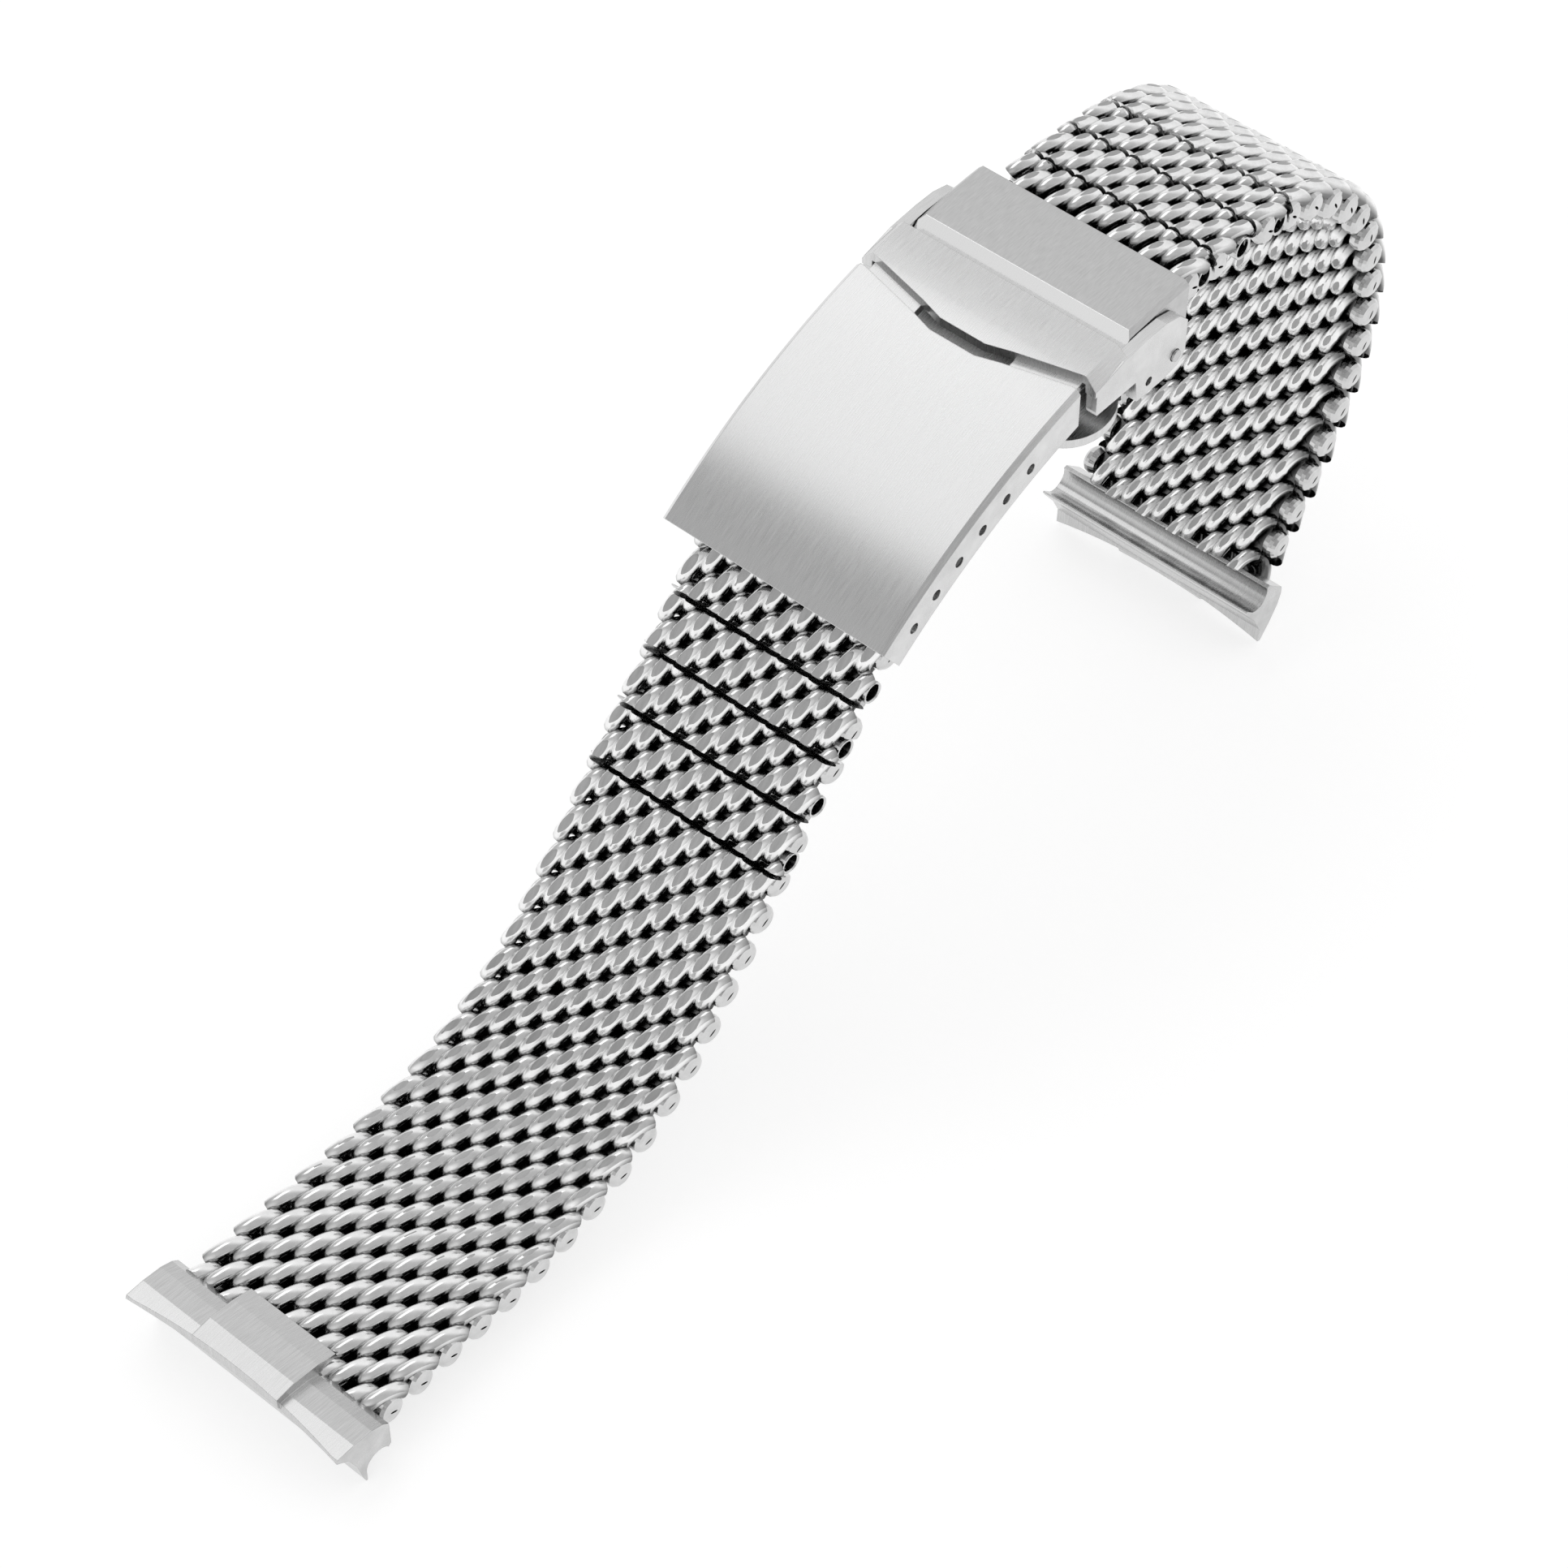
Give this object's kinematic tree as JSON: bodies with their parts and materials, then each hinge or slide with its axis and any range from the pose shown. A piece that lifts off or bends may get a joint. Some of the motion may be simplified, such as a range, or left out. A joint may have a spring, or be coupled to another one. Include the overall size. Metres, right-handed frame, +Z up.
{
  "type": "mesh watch band",
  "caption": "Wire mesh watch band with solid end links, removable mesh links and a curved folding clasp with a safety catch.",
  "frame": {"origin": "centre of the footprint, on the surface that the closed band stands on", "axes": "+X across the band, +Y from the front end link towards the rear strap, +Z up"},
  "size_m": [0.023, 0.1278, 0.0524],
  "materials": {
    "mesh_wire": "polished woven wire with lapped crowns",
    "brushed_case": "satin brushed",
    "pin_steel": "plain turned"
  },
  "bodies": {
    "cover": {"clasp_cover": "brushed_case", "cover_hinge_pin": "pin_steel", "adjuster_tube": "pin_steel"},
    "adjuster_tip_left": {"adjuster_tip_left": "pin_steel"},
    "adjuster_tip_right": {"adjuster_tip_right": "pin_steel"},
    "inner_blade": {"inner_blade": "brushed_case", "blade_hinge_pin": "pin_steel"},
    "outer_blade": {"outer_blade": "brushed_case", "latch_stud": "pin_steel", "end_block": "brushed_case", "catch_pivot_pins": "pin_steel", "rear_strap_bar": "pin_steel"},
    "safety_catch": {"safety_catch": "brushed_case"},
    "front_end": {"front_end_mesh": "mesh_wire", "front_pin_1": "pin_steel"},
    "front_link_1": {"front_link_1": "mesh_wire", "front_pin_2": "pin_steel"},
    "front_link_2": {"front_link_2": "mesh_wire", "front_pin_3": "pin_steel"},
    "front_link_3": {"front_link_3": "mesh_wire", "front_pin_4": "pin_steel"},
    "front_mesh_3": {"front_mesh_3": "mesh_wire"},
    "front_mesh_2": {"front_mesh_2": "mesh_wire"},
    "front_mesh_1": {"front_mesh_1": "mesh_wire", "front_end_link": "brushed_case"},
    "rear_end": {"rear_end_mesh": "mesh_wire", "rear_pin_1": "pin_steel"},
    "rear_link_1": {"rear_link_1": "mesh_wire", "rear_pin_2": "pin_steel"},
    "rear_link_2": {"rear_link_2": "mesh_wire", "rear_pin_3": "pin_steel"},
    "rear_mesh_1": {"rear_mesh_1": "mesh_wire"},
    "rear_mesh_2": {"rear_mesh_2": "mesh_wire"},
    "rear_mesh_3": {"rear_mesh_3": "mesh_wire", "rear_end_link": "brushed_case"}
  },
  "joints": [
    {"name": "adjuster_pivot", "type": "hinge", "parent": "cover", "child": "front_end", "pos_m": [0, 0.00609, 0.04432], "axis": [1, 0, 0], "range_deg": [-10, 3]},
    {"name": "front_pin_1_pivot", "type": "hinge", "parent": "front_end", "child": "front_link_1", "pos_m": [0, -0.00232, 0.03447], "axis": [1, 0, 0], "range_deg": [-10, 10]},
    {"name": "front_pin_2_pivot", "type": "hinge", "parent": "front_link_1", "child": "front_link_2", "pos_m": [0, -0.00548, 0.03077], "axis": [1, 0, 0], "range_deg": [-10, 10]},
    {"name": "front_pin_3_pivot", "type": "hinge", "parent": "front_link_2", "child": "front_link_3", "pos_m": [0, -0.00864, 0.02708], "axis": [1, 0, 0], "range_deg": [-10, 10]},
    {"name": "front_pin_4_pivot", "type": "hinge", "parent": "front_link_3", "child": "front_mesh_3", "pos_m": [0, -0.01175, 0.02335], "axis": [1, 0, 0], "range_deg": [-10, 10]},
    {"name": "front_bend_2", "type": "hinge", "parent": "front_mesh_3", "child": "front_mesh_2", "pos_m": [0, -0.02342, 0.00991], "axis": [1, 0, 0], "range_deg": [-12, 12]},
    {"name": "front_bend_1", "type": "hinge", "parent": "front_mesh_2", "child": "front_mesh_1", "pos_m": [0, -0.03966, 0.0032], "axis": [1, 0, 0], "range_deg": [-12, 12]},
    {"name": "cover_fold", "type": "hinge", "parent": "cover", "child": "inner_blade", "pos_m": [0, 0.01785, 0.04557], "axis": [1, 0, 0], "range_deg": [0, 165]},
    {"name": "blade_fold", "type": "hinge", "parent": "inner_blade", "child": "outer_blade", "pos_m": [0, 0.00628, 0.03844], "axis": [1, 0, 0], "range_deg": [-165, 0]},
    {"name": "catch_flip", "type": "hinge", "parent": "outer_blade", "child": "safety_catch", "pos_m": [0, 0.03114, 0.04738], "axis": [-1, 0, 0], "range_deg": [0, 105]},
    {"name": "rear_bar_pivot", "type": "hinge", "parent": "outer_blade", "child": "rear_end", "pos_m": [0, 0.03044, 0.04974], "axis": [-1, 0, 0], "range_deg": [-4, 8]},
    {"name": "rear_pin_1_pivot", "type": "hinge", "parent": "rear_end", "child": "rear_link_1", "pos_m": [0, 0.03853, 0.04947], "axis": [-1, 0, 0], "range_deg": [-10, 10]},
    {"name": "rear_pin_2_pivot", "type": "hinge", "parent": "rear_link_1", "child": "rear_link_2", "pos_m": [0, 0.04337, 0.04906], "axis": [-1, 0, 0], "range_deg": [-10, 10]},
    {"name": "rear_pin_3_pivot", "type": "hinge", "parent": "rear_link_2", "child": "rear_mesh_1", "pos_m": [0, 0.04816, 0.04822], "axis": [-1, 0, 0], "range_deg": [-10, 10]},
    {"name": "rear_bend_1", "type": "hinge", "parent": "rear_mesh_1", "child": "rear_mesh_2", "pos_m": [0, 0.06104, 0.037], "axis": [-1, 0, 0], "range_deg": [-12, 12]},
    {"name": "rear_bend_2", "type": "hinge", "parent": "rear_mesh_2", "child": "rear_mesh_3", "pos_m": [0, 0.06007, 0.01966], "axis": [-1, 0, 0], "range_deg": [-12, 12]},
    {"name": "tip_left_slide", "type": "slide", "parent": "cover", "child": "adjuster_tip_left", "axis": [1, 0, 0], "range_m": [0, 0.0012], "stiffness_N_per_m": 200},
    {"name": "tip_right_slide", "type": "slide", "parent": "cover", "child": "adjuster_tip_right", "axis": [-1, 0, 0], "range_m": [0, 0.0012], "stiffness_N_per_m": 200}
  ],
  "couplings": [
    {"joint": "blade_fold", "follows": "cover_fold", "ratio": -1}
  ]
}
